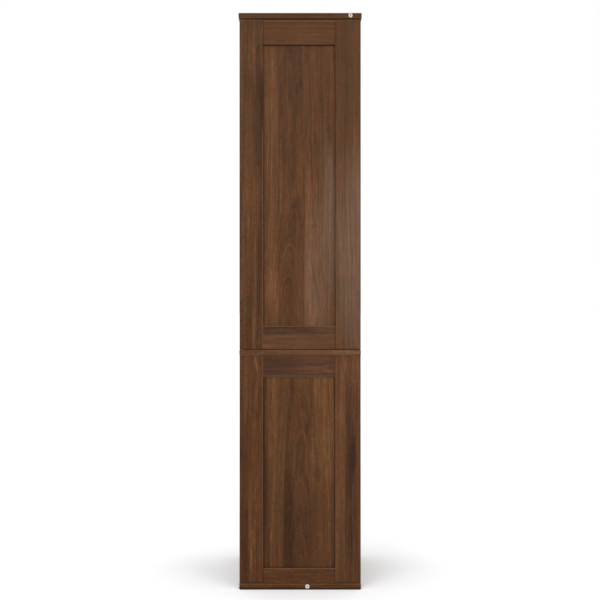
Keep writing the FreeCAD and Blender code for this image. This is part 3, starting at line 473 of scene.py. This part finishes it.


# The boards and their figure, in mm. Strengths below zero darken, those above lighten.
# marks, and painted sheens (the soft reflection of a lamp): (across, along, half width, half length, slope,
# strength)
# strips: (edge, side it fades to, width, middle along, half length, strength)
# arches: (across, along, half width, drop, reach, strength)
# lines: (axis it is measured on, place, half width, start, end, strength), on the front's edges: painted
# highlights, painted light over shade, painted shadow in gaps and recesses, and dark joints
BOARDS = {
    "upper_hinge_stile": dict(
        seed=1.3, pith=(-0.42, 0.12), lean=0.03,
        marks=[
            (-127, 1490, 8, 150, 0.0, -0.18), (-129, 1180, 8, 180, 0.0, -0.14),
            (-162, 1500, 44, 190, 0.0, -0.15), (-156, 1690, 10, 70, 0.0, 0.12),
            (-130, 1580, 13, 100, 0.0, -0.10), (-158, 1130, 14, 130, 0.0, 0.06),
            (-150, 840, 7, 70, 0.0, 0.10),
        ],
        strips=[
            (-141, 1, 40, 1560, 250, -0.13), (-140, 1, 24, 900, 260, -0.12),
            (-165, -1, 20, 1700, 130, -0.05),
        ],
        # Painted highlights on the inner arris and the top arris, and painted shade at the bottom edge by
        # the gap.
        lines=[
            ("x", -119.4, 2.2, 740, 1480, 0.34), ("z", 1809.6, 3.0, -240, -90, 0.35),
            ("z", 762.2, 1.3, -240, -90, -0.35),
        ],
    ),
    "upper_latch_stile": dict(
        seed=2.9, pith=(0.50, 0.10), lean=0.02, lift=-0.02, contrast=0.72,
        marks=[
            (118, 1530, 6, 60, 0.0, -0.10), (120, 965, 7, 90, 0.0, -0.14), (148, 1010, 34, 170, 0.0, 0.07),
            (182, 1130, 44, 230, 0.0, 0.15), (150, 1680, 50, 190, 0.0, -0.11),
        ],
        # A painted sheen: the soft reflection of a lamp.
        painted_sheens=[(186, 1060, 90, 330, 0.0, 1.2), (150, 1650, 60, 220, 0.0, 0.07)],
        # Painted shade along the inner edge and at the bottom edge by the gap, and a painted highlight on
        # the top arris.
        lines=[
            ("x", 112.4, 2.0, 740, 1740, -0.45), ("z", 1809.6, 3.0, 90, 240, 0.30),
            ("z", 762.2, 1.5, 80, 240, -0.60),
        ],
    ),
    "upper_top_rail": dict(
        along="x", seed=4.1, pith=(1.50, 0.16), lean=0.03, start=0.0, lift=-0.05, contrast=0.55,
        tint=(1.0, 0.97, 0.90),
        marks=[(1752, 30, 10, 60, -0.12, 0.08), (1738, -62, 5, 14, 0.0, -0.14)],
        # Dark joint lines at both ends, and a painted highlight along the top arris.
        lines=[
            ("x", -117, 2.6, 1700, 1840, -0.55), ("x", 110.6, 2.6, 1700, 1840, -0.50),
            ("z", 1808.6, 4.8, -160, 160, 0.36),
        ],
    ),
    "upper_bottom_rail": dict(
        along="x", seed=5.7, pith=(0.60, 0.12), lean=0.03, start=0.0, lift=-0.045, contrast=0.8,
        marks=[(824, -40, 8, 110, 0.0, -0.20)],
        # A painted sheen: the soft reflection of a lamp.
        painted_sheens=[(800, 0, 60, 200, 0.0, 0.25)],
        strips=[(811, 1, 60, -60, 120, -0.20)],
        # A painted highlight along the top arris, and a dark joint line at the right end.
        lines=[("z", 834.6, 2.0, -140, 140, 0.22), ("x", 110.6, 2.6, 700, 870, -0.35)],
    ),
    "upper_panel": dict(
        seed=7.7, pith=(-0.030, 0.168), lean=-0.090, start=0.84, until=0.36, lift=0.01, contrast=0.92,
        marks=[
            (-48, 1415, 10, 90, 0.0, -0.12), (6, 1610, 8, 24, 0.0, -0.14), (80, 1530, 22, 150, 0.0, -0.06),
            (92, 1445, 9, 40, 0.0, -0.14), (20, 1650, 90, 170, 0.0, -0.08), (-40, 1230, 36, 180, 0.0, 0.06),
            (-95, 1530, 14, 150, 0.0, -0.07), (-14, 1210, 16, 46, 0.0, -0.14),
            (-88, 850, 34, 50, 0.0, -0.08), (-52, 1300, 3, 120, 0.0, -0.12),
            (55, 1100, 3.0, 90, -0.22, -0.10), (58, 960, 3.6, 90, -0.21, -0.18),
            (80, 985, 3.2, 70, -0.20, -0.14), (38, 1020, 4.5, 50, -0.20, 0.14),
            (40, 930, 7, 110, -0.10, 0.12),
        ],
        strips=[
            (-69, -1, 60, 1270, 480, 0.12), (-69, -1, 60, 900, 130, 0.08), (-69, 1, 90, 1300, 440, -0.07),
            (14.6, 1, 95, 1060, 310, 0.19), (14.6, -1, 20, 1000, 230, -0.10),
        ],
        arches=[
            (-20, 1228, 23, 60, 190, -0.09), (-29, 1112, 30, 52, 200, -0.11),
            (-33, 1064, 17, 44, 120, 0.07), (-37, 1006, 21, 50, 160, 0.11), (-38, 950, 16, 44, 100, -0.07),
            (50, 1162, 19, 36, 130, -0.14),
        ],
        # A painted sheen: the soft reflection of a lamp.
        painted_sheens=[(102, 1200, 34, 230, -0.08, 1.0), (66, 1020, 60, 240, 0.0, 0.68)],
        # Painted shadow under the top rail and along the left edge, and a painted highlight near the right
        # edge.
        lines=[
            ("z", 1731, 2.0, -140, 140, -0.30), ("x", -115.5, 2.0, 800, 1200, -0.25),
            ("x", 106.3, 2.2, 830, 1700, 0.12),
        ],
    ),
    "lower_hinge_stile": dict(
        seed=9.1, pith=(-0.50, 0.12), lean=0.04, start=0.4, lift=0.045, tint=(1.0, 0.945, 0.925),
        marks=[
            (-137, 700, 6, 45, -0.20, 0.18), (-178, 440, 22, 100, 0.0, -0.16),
            (-188, 425, 11, 46, 0.0, -0.30), (-166, 200, 13, 200, 0.0, -0.09),
            (-125, 460, 8, 50, 0.0, -0.06), (-124, 540, 7, 70, 0.0, 0.08), (-138, 150, 7, 130, 0.09, 0.12),
            (-134, 330, 6, 60, 0.10, 0.06),
        ],
        strips=[(-165, -1, 30, 130, 170, -0.16), (-165, 1, 40, 500, 200, 0.03)],
        # A painted highlight on the inner arris, painted light on the top edge over the gap's shade, and
        # painted shade at the bottom edge by the gap.
        lines=[
            ("x", -119.4, 2.2, 50, 800, 0.28), ("z", 741.8, 2.6, -240, -90, 0.85),
            ("z", 19.4, 1.8, -240, -90, -0.45),
        ],
    ),
    "lower_latch_stile": dict(
        seed=11.3, pith=(0.46, 0.12), lean=0.03, start=0.4, lift=0.02, contrast=0.85,
        tint=(1.0, 1.01, 1.12),
        marks=[
            (168, 430, 14, 60, 0.0, -0.22), (164, 360, 11, 70, 0.0, -0.16), (180, 200, 12, 120, 0.0, -0.06),
            (150, 700, 44, 60, 0.0, 0.07),
        ],
        strips=[(144, -1, 60, 330, 330, 0.10), (144, 1, 60, 380, 300, -0.14)],
        # A painted highlight near the inner edge, painted light on the top edge over the gap's shade, and
        # painted shade at the bottom edge by the gap.
        lines=[
            ("x", 113.6, 2.0, -20, 800, 0.22), ("z", 741.8, 2.6, 80, 240, 0.85),
            ("z", 19.4, 1.8, 80, 240, -0.40),
        ],
    ),
    "lower_top_rail": dict(
        along="x", seed=12.7, pith=(0.50, 0.10), lean=0.04, start=0.0, lift=-0.16, tint=(1.0, 0.925, 0.95),
        marks=[(708, -80, 40, 90, 0.0, -0.13), (708, 90, 40, 90, 0.0, 0.10), (684, 80, 8, 40, 0.0, 0.08)],
        # A painted sheen: the soft reflection of a lamp.
        painted_sheens=[(708, 0, 60, 160, 0.0, 0.30)],
        # A painted highlight on the lower arris, painted light on the top edge over the gap's shade, and a
        # dark joint line at the right end.
        lines=[
            ("z", 677.4, 2.2, -140, 140, 0.26), ("z", 741.8, 2.6, -160, 160, 0.85),
            ("x", 110.6, 2.6, 660, 770, -0.30),
        ],
    ),
    "lower_bottom_rail": dict(
        along="x", seed=14.9, pith=(-0.10, 0.14), lean=0.03, start=0.0, lift=-0.05,
        # Dark joint lines at both ends, and a painted highlight along the top arris.
        lines=[
            ("x", -117, 2.6, -10, 90, -0.50), ("x", 110.6, 2.6, -10, 90, -0.45),
            ("z", 63.0, 2.2, -140, 140, 0.20),
        ],
    ),
    "lower_panel": dict(
        seed=16.3, pith=(0.004, 0.150), lean=-0.050, start=0.10, lift=-0.005,
        marks=[
            # The first mark is a painted shadow of the left stile on the recessed panel.
            (-114, 350, 17, 440, 0.0, -0.32), (20, 100, 130, 150, 0.0, -0.06),
            # This line's last mark is painted light along the panel's top, against the top rail's shade.
            (-72, 560, 16, 90, 0.0, 0.06), (-10, 640, 40, 20, 0.0, -0.10), (0, 668, 150, 50, 0.0, 0.08),
            (22, 512, 6, 22, 0.0, -0.22), (57, 366, 9, 26, 0.0, -0.24), (57, 418, 7, 30, 0.0, -0.10),
            (-34, 220, 20, 190, 0.0, -0.12), (40, 200, 16, 170, 0.0, -0.10),
        ],
        strips=[
            (-51.7, 1, 46, 190, 230, -0.20), (-51.7, 1, 60, 500, 160, -0.05),
            (-51.7, -1, 60, 300, 330, 0.04), (36.2, 1, 100, 560, 260, 0.15),
            (36.2, -1, 40, 150, 120, -0.08),
        ],
        arches=[(-30, 272, 17, 34, 110, -0.13)],
        # Painted shadow along the right edge and the bottom, a painted highlight near the right edge, and
        # painted light along the top against the rail's shadow.
        lines=[
            ("x", 110.6, 2.0, 40, 700, -0.50), ("x", 106.3, 2.2, 60, 690, 0.10),
            ("z", 674.5, 3.2, -140, 140, 1.0), ("z", 66.0, 2.6, -140, 140, -0.35),
        ],
    ),
    "cap": dict(
        along="x", seed=18.1, pith=(1.60, 0.30), lean=0.02, start=0.0, lift=-0.07, edge_wear_and_highlight=0.35, reach=14,
        tint=(0.975, 0.92, 0.865),
        # A darker line low on the front, and painted light on the underside in place of light from below.
        lines=[("z", 1816.0, 2.2, -240, 240, -0.22), ("z", 1813.4, 1.2, -240, 240, 1.0)],
    ),
    "middle_board": dict(
        along="x", seed=19.9, pith=(0.55, 0.30), lean=0.02, start=0.0, lift=0.05, edge_wear_and_highlight=0.5,
        tint=(1.02, 1.0, 1.04),
        marks=[(752, 150, 14, 60, 0.0, 0.14), (757, -160, 6, 50, 0.0, -0.07)],
        # A painted sheen: the soft reflection of a lamp.
        painted_sheens=[(752, 0, 60, 260, 0.0, 0.12)],
        # Painted light along the lower edge over the gap's shade, and lighter across the middle of the
        # front.
        lines=[("z", 745.2, 2.2, -240, 240, 0.14), ("z", 753, 3.4, -220, 220, 0.10)],
    ),
    "bottom_board": dict(
        along="x", seed=21.7, pith=(0.25, 0.30), lean=0.02, start=0.0, lift=-0.08, edge_wear_and_highlight=0.6,
        marks=[(11, 120, 6, 50, 0.0, -0.15)],
        # Painted contact shadow along the lower edge of the front.
        lines=[("z", 2.6, 5.0, -240, 240, -0.55)],
    ),
    "left_side": dict(face="x", seed=23.1, pith=(0.04, 0.16), lean=0.08, start=0.3),
    "right_side": dict(face="x", seed=25.3, pith=(-0.05, -0.14), lean=-0.07, start=1.2),
    "rear_rail": dict(along="x", seed=27.7, pith=(1.60, 0.2), lean=0.03, start=0.0),
    "upper_shelf_high": dict(along="x", seed=29.3, pith=(1.30, 0.05), lean=0.05, start=0.0),
    "upper_shelf_low": dict(along="x", seed=31.9, pith=(1.00, -0.03), lean=0.05, start=0.0),
    "lower_shelf": dict(along="x", seed=33.7, pith=(0.28, 0.02), lean=0.05, start=0.0),
}

# Boards that end at the cabinet's left or right outer edge.
RIMMED = ["cap", "middle_board", "bottom_board"]
RIMMED += [f"{door}_{stile}" for door in ("upper", "lower") for stile in ("hinge_stile", "latch_stile")]
for name, look in BOARDS.items():
    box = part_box(name)
    rim = max(abs(box[0].x), abs(box[1].x)) if name in RIMMED else 0
    paint(name, walnut(f"walnut_{name}", box, rim, **look))


# The backs' chips and blots: waves per metre, and their shares of the tone.
CHIP_WAVES = 420
BLOT_WAVES = 14
CHIP_SHARE = 0.75
BLOT_SHARE = 0.25
BACK_DEPTH = 0.15 * MM
# How much duller the rear is than the foil.
REAR_ROUGHNESS = 0.3
BACK_SEEDS = {"upper_back": 41.0, "lower_back": 43.0}


def hardboard(name, seed):
    """Walnut foil on the face that shows inside, brown hardboard behind."""
    material, tree, shader = material_of(f"hardboard_{name}")
    place = tree.place()
    made = tree.use(GROWTH, Place=place, Seed=seed, Pith_Across=0.03, Pith_Through=0.2, Lean=0.06, From=0.8)
    foil = tree.ramp(made["Tone"], WALNUT)
    chips = tree.noise(tree.vector("MULTIPLY", place, (1.0, 1.0, 0.8)), CHIP_WAVES, 4, 0.65)
    blots = tree.noise(place, BLOT_WAVES, 3, 0.5)
    board_tone = tree.math("MULTIPLY_ADD", blots, BLOT_SHARE, tree.math("MULTIPLY", chips, CHIP_SHARE))
    middle = (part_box(name)[0].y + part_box(name)[1].y) / 2
    rear = tree.math("GREATER_THAN", tree.split(place)[1], middle)
    tree.put(shader.inputs["Base Color"], tree.blend(rear, foil, tree.ramp(board_tone, HARDBOARD)))
    rough = tree.math("MULTIPLY_ADD", made["Fibre"], 0.1, 0.42)
    tree.put(shader.inputs["Roughness"], tree.math("MULTIPLY_ADD", rear, REAR_ROUGHNESS, rough))
    shader.inputs["Specular IOR Level"].default_value = WOOD_SPECULAR
    bump(tree, shader, tree.blend(rear, made["Fibre"], chips), BACK_DEPTH, 0.6)
    return material


for name, seed in BACK_SEEDS.items():
    paint(name, hardboard(name, seed))

# The finest noise on metals and plastics, in waves per metre, and how deep it goes.
METAL_GRAIN = (2200, 2200, 2200)
TURNED_GRAIN = (300, 300, 5200)
PLASTIC_GRAIN = 1500
METAL_DEPTH = 0.02 * MM
PLASTIC_DEPTH = 0.04 * MM


def metal(name, dark, light, roughness, spread, waves, grain=METAL_GRAIN):
    material, tree, shader = material_of(name)
    place = tree.place()
    cloud = tree.noise(tree.vector("MULTIPLY", place, waves), 1.0, 4, 0.6)
    fine = tree.noise(tree.vector("MULTIPLY", place, grain), 1.0, 2, 0.6)
    tree.put(shader.inputs["Base Color"], tree.ramp(cloud, ((0.3, dark), (0.7, light))))
    shader.inputs["Metallic"].default_value = 1.0
    both = tree.math("ADD", tree.math("MULTIPLY", cloud, 0.6), tree.math("MULTIPLY", fine, 0.4))
    tree.put(shader.inputs["Roughness"], tree.span(both, 0.3, 0.7, roughness - spread, roughness + spread))
    bump(tree, shader, fine, METAL_DEPTH, 0.4)
    return material, tree, shader


def plastic(name, dark, light, roughness):
    material, tree, shader = material_of(name)
    place = tree.place()
    cloud = tree.noise(place, 55, 3, 0.5)
    fine = tree.noise(place, PLASTIC_GRAIN, 2, 0.6)
    tree.put(shader.inputs["Base Color"], tree.ramp(cloud, ((0.3, dark), (0.7, light))))
    tree.put(shader.inputs["Roughness"], tree.span(fine, 0.3, 0.7, roughness - 0.07, roughness + 0.07))
    shader.inputs["Specular IOR Level"].default_value = 0.4
    bump(tree, shader, fine, PLASTIC_DEPTH, 0.5)
    return material, shader


# Painted shade inside the keyway: its colour, and how far behind the plug's face it starts and is full.
KEYWAY_SHADE = (0.012, 0.011, 0.010, 1)
KEYWAY_START = 0.1 * MM
KEYWAY_FULL = 0.8 * MM


def lock_plug(name):
    """Bright nickel on the plug's face, and a painted shade inside its keyway."""
    material, tree, shader = metal(name, (0.80, 0.77, 0.73), (0.91, 0.88, 0.84), 0.32, 0.08, (180, 180, 180))
    depth = tree.split(tree.place())[1]
    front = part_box(name)[0].y
    inside = tree.span(depth, front + KEYWAY_START, front + KEYWAY_FULL)
    bright = shader.inputs["Base Color"].links[0].from_socket
    tree.put(shader.inputs["Base Color"], tree.blend(inside, bright, KEYWAY_SHADE))
    tree.put(shader.inputs["Metallic"], tree.math("SUBTRACT", 1.0, inside))
    return material


def clear_rubber():
    material, shader = plastic("clear_rubber", (0.62, 0.62, 0.59), (0.76, 0.76, 0.73), 0.42)
    shader.inputs["Transmission Weight"].default_value = 0.55
    shader.inputs["Subsurface Weight"].default_value = 0.2
    shader.inputs["Subsurface Radius"].default_value = (2 * MM, 2 * MM, 2 * MM)
    return material


def beech():
    material, tree, shader = material_of("beech")
    flecks = tree.noise(tree.vector("MULTIPLY", tree.place(), (60, 900, 700)), 1.0, 3, 0.6)
    colour = tree.ramp(flecks, ((0.3, (0.42, 0.26, 0.14)), (0.7, (0.62, 0.43, 0.26))))
    tree.put(shader.inputs["Base Color"], colour)
    tree.put(shader.inputs["Roughness"], tree.span(flecks, 0.3, 0.7, 0.6, 0.75))
    bump(tree, shader, flecks, 0.1 * MM, 0.6)
    return material


nickel = metal("nickel", (0.86, 0.83, 0.80), (0.95, 0.93, 0.90), 0.30, 0.07, (180, 180, 180))[0]
zinc = metal("zinc", (0.40, 0.41, 0.43), (0.58, 0.59, 0.61), 0.40, 0.12, (240, 240, 240))[0]
steel = metal("steel", (0.50, 0.50, 0.51), (0.64, 0.64, 0.66), 0.26, 0.08, (40, 40, 300), TURNED_GRAIN)[0]
nylon = plastic("brown_nylon", (0.030, 0.020, 0.014), (0.055, 0.038, 0.028), 0.46)[0]
grey_plastic = plastic("grey_plastic", (0.20, 0.20, 0.205), (0.28, 0.28, 0.285), 0.44)[0]

FINISHES = [
    (nickel, ["shelf_pins"]),
    (zinc, ["cam_locks", "cam_bolts", "base_screws", "back_nails", "latch_screws"]),
    (nylon, ["glides"]),
    (beech(), ["dowels"]),
]
rubber = clear_rubber()
for door in ("upper", "lower"):
    FINISHES += [
        (nickel, [f"{door}_lock_housing"]),
        (lock_plug(f"{door}_lock_plug"), [f"{door}_lock_plug"]),
        (zinc, [f"{door}_strike", f"{door}_lock_cam", f"{door}_lock_cam_screw"]),
        (steel, [f"{door}_pivot_pins"]),
        (nylon, [f"{door}_pivot_bushings"]),
        (grey_plastic, [f"{door}_latch_body", f"{door}_latch_plunger"]),
        (rubber, [f"{door}_bumpers"]),
    ]
for material, names in FINISHES:
    for name in names:
        paint(name, material)

# The floor keeps the cabinet's shadow, cast by the lamps and painted into its glow by occlusion; white
# elsewhere.
FLOOR_HALF = 60
FLOOR_COLOUR = 0.62
FLOOR_BOUNCE = 0.30
FLOOR_SPECKLE = 0.005
AO_SAMPLES = 12
# The shadow painted into the floor's glow: how far it looks for the cabinet, and how deep it gets.
SHADOW_REACH = 0.35
SHADOW_DEPTH = 0.7
# The painted contact shadow where the bottom board meets the floor, in the floor's colour and glow: full
# along its front, and faint beside it. It fades between these distances in from the board's end.
CONTACT_REACH = 8 * MM
CONTACT_FRONT = 6.0
CONTACT_BESIDE = 0.4
CONTACT_FADE_START = 2.5 * MM
CONTACT_FADE_END = 0.5 * MM
# The floor's own light makes it white: weaker near the cabinet, and a little stronger behind it.
GLOW_NEAR = 0.455
GLOW_FAR = 0.72
GLOW_BEHIND = 0.11
GLOW_GROWS_FROM = 0.7
GLOW_GROWS_TO = 4.5
BEHIND_FULL = 0.36


def openness(tree, reach):
    """1 on open floor, and less where something stands within reach."""
    node = tree.add("ShaderNodeAmbientOcclusion", samples=AO_SAMPLES)
    node.inputs["Distance"].default_value = reach
    return node.outputs["AO"]


def floor_look():
    material = bpy.data.materials.new("floor")
    tree, surface = fresh_tree(material, "ShaderNodeOutputMaterial")
    rays = tree.add("ShaderNodeLightPath").outputs
    mirrored = tree.math("MAXIMUM", rays["Is Glossy Ray"], rays["Is Transmission Ray"])
    seen = tree.math("MAXIMUM", rays["Is Camera Ray"], mirrored)
    ground = tree.place()
    x, y, _ = tree.split(ground)
    speckle = tree.noise(ground, 3, 2, 0.5)
    grey = tree.span(speckle, 0.0, 1.0, FLOOR_COLOUR - FLOOR_SPECKLE, FLOOR_COLOUR + FLOOR_SPECKLE)
    grey = tree.math("MULTIPLY_ADD", tree.math("SUBTRACT", grey, FLOOR_BOUNCE), seen, FLOOR_BOUNCE)
    board_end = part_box("bottom_board")[1].x
    power = tree.span(tree.math("ABSOLUTE", x), board_end - CONTACT_FADE_END, board_end - CONTACT_FADE_START,
                      CONTACT_BESIDE, CONTACT_FRONT)
    contact = tree.math("POWER", openness(tree, CONTACT_REACH), power)
    grey = tree.math("MULTIPLY", grey, contact)
    plain = tree.add("ShaderNodeBsdfDiffuse")
    tree.put(plain.inputs["Color"], tree.join(grey, grey, grey))
    shadow = tree.math("MULTIPLY", tree.math("POWER", openness(tree, SHADOW_REACH), SHADOW_DEPTH), contact)
    white = tree.span(tree.vector("LENGTH", ground), GLOW_GROWS_FROM, GLOW_GROWS_TO, GLOW_NEAR, GLOW_FAR,
                      smooth=True)
    white = tree.math("ADD", white, tree.span(y, 0.0, BEHIND_FULL, 0.0, GLOW_BEHIND, smooth=True))
    glow = tree.add("ShaderNodeEmission")
    glow.inputs["Color"].default_value = (1, 1, 1, 1)
    tree.put(glow.inputs["Strength"], tree.math("MULTIPLY", seen, tree.math("MULTIPLY", white, shadow)))
    both = tree.fill(tree.add("ShaderNodeAddShader"), plain.outputs[0], glow.outputs[0])
    tree.put(surface, both[0])
    return material


corners = [(x * FLOOR_HALF, y * FLOOR_HALF, 0) for x, y in ((-1, -1), (1, -1), (1, 1), (-1, 1))]
mesh = bpy.data.meshes.new("floor")
mesh.from_pydata(corners, [], [(0, 1, 2, 3)])
mesh.materials.append(floor_look())
floor = bpy.data.objects.new("floor", mesh)
scene.collection.objects.link(floor)

# The world is white where it is seen, softer as light, and dimmer in reflections of the room in front.
SKY_LIGHT = 0.62
SKY_IN_FRONT = 0.50
# The Y of the directions between which it turns from dim to white.
DIM_Y = -0.75
WHITE_Y = 0.1
world = bpy.data.worlds.new("studio")
scene.world = world
tree, surface = fresh_tree(world, "ShaderNodeOutputWorld")
rays = tree.add("ShaderNodeLightPath").outputs
way = tree.split(tree.add("ShaderNodeTexCoord").outputs["Generated"])
mirrored = tree.span(way[1], DIM_Y, WHITE_Y, SKY_IN_FRONT, 1.0, smooth=True)
seen = tree.math("MAXIMUM", rays["Is Camera Ray"], rays["Is Transmission Ray"])
change = tree.math("SUBTRACT", mirrored, SKY_LIGHT)
light = tree.math("MULTIPLY_ADD", change, rays["Is Glossy Ray"], SKY_LIGHT)
sky = tree.add("ShaderNodeBackground")
sky.inputs["Color"].default_value = (1, 1, 1, 1)
tree.put(sky.inputs["Strength"], tree.math("MAXIMUM", light, seen))
tree.put(surface, sky.outputs[0])

# Soft studio lamps: name, place, what it is turned to, size and watts
LAMPS = (
    ("key", (-1.9, -3.4, 3.2), (0.0, 0.0, 1.25), (2.2, 2.2), 72),
    ("fill", (2.4, -3.2, 1.9), (0.0, 0.0, 1.10), (1.8, 2.2), 50),
    ("top", (0.0, -0.6, 4.6), (0.0, 0.0, 0.0), (2.4, 1.6), 30),
)
for name, place, towards, size, watts in LAMPS:
    data = bpy.data.lights.new(name, "AREA")
    data.shape = "RECTANGLE"
    data.size, data.size_y = size
    data.energy = watts
    data.spread = math.radians(180)
    lamp = bpy.data.objects.new(name, data)
    lamp.location = place
    aim = Vector(towards) - Vector(place)
    lamp.rotation_euler = aim.to_track_quat("-Z", "Y").to_euler()
    scene.collection.objects.link(lamp)

# Camera, at the photograph's angle: level, and in front of the cabinet's middle. Sensor and lens in mm.
SENSOR_WIDTH = 36
FOCAL_LENGTH = 56.72
CLIP_END = 200
EYE = (-0.0004, -3.201, 0.9188)
lens = bpy.data.cameras.new("camera")
lens.sensor_width = SENSOR_WIDTH
lens.lens = FOCAL_LENGTH
lens.clip_end = CLIP_END
camera = bpy.data.objects.new("camera", lens)
camera.location = EYE
camera.rotation_euler = (math.radians(90), 0, 0)
scene.collection.objects.link(camera)
scene.camera = camera
scene.view_settings.view_transform = "Standard"
